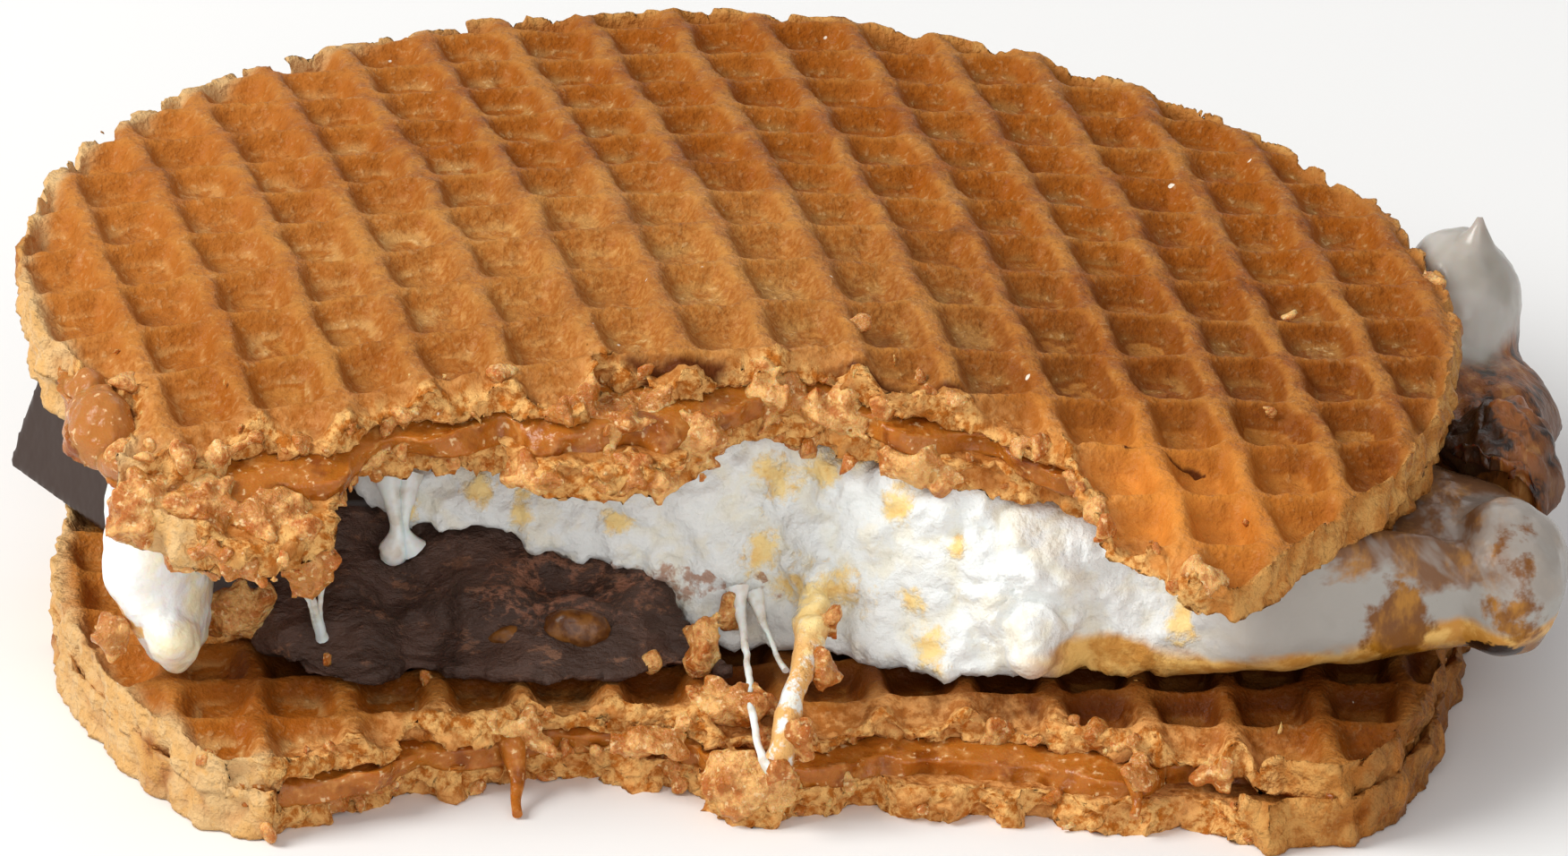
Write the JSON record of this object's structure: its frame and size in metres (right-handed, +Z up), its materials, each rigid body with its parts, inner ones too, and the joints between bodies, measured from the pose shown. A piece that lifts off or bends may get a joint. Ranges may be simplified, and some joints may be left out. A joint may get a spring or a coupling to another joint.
{
  "type": "stroopwafel smore",
  "caption": "Bitten stroopwafel smore: toasted marshmallow and a chocolate slab held between round caramel-filled waffle biscuits.",
  "frame": {"origin": "middle of the footprint, on the face that the bottom wafer rests on", "axes": "+Z up through the stack, -Y towards the bitten front, +X along the bite to the side where the marshmallow bulges out"},
  "size_m": [0.0877, 0.0704, 0.0243],
  "materials": {
    "wafer": "satin",
    "caramel": "gloss",
    "chocolate": "satin",
    "marshmallow": "satin"
  },
  "bodies": {
    "root": {"bottom_wafer_lower": "wafer", "bottom_caramel": "caramel", "bottom_wafer_upper": "wafer", "top_wafer_lower": "wafer", "top_caramel": "caramel", "top_wafer_upper": "wafer", "chocolate": "chocolate", "marshmallow_front": "marshmallow", "marshmallow_back": "marshmallow", "marshmallow_left": "marshmallow"}
  },
  "joints": []
}
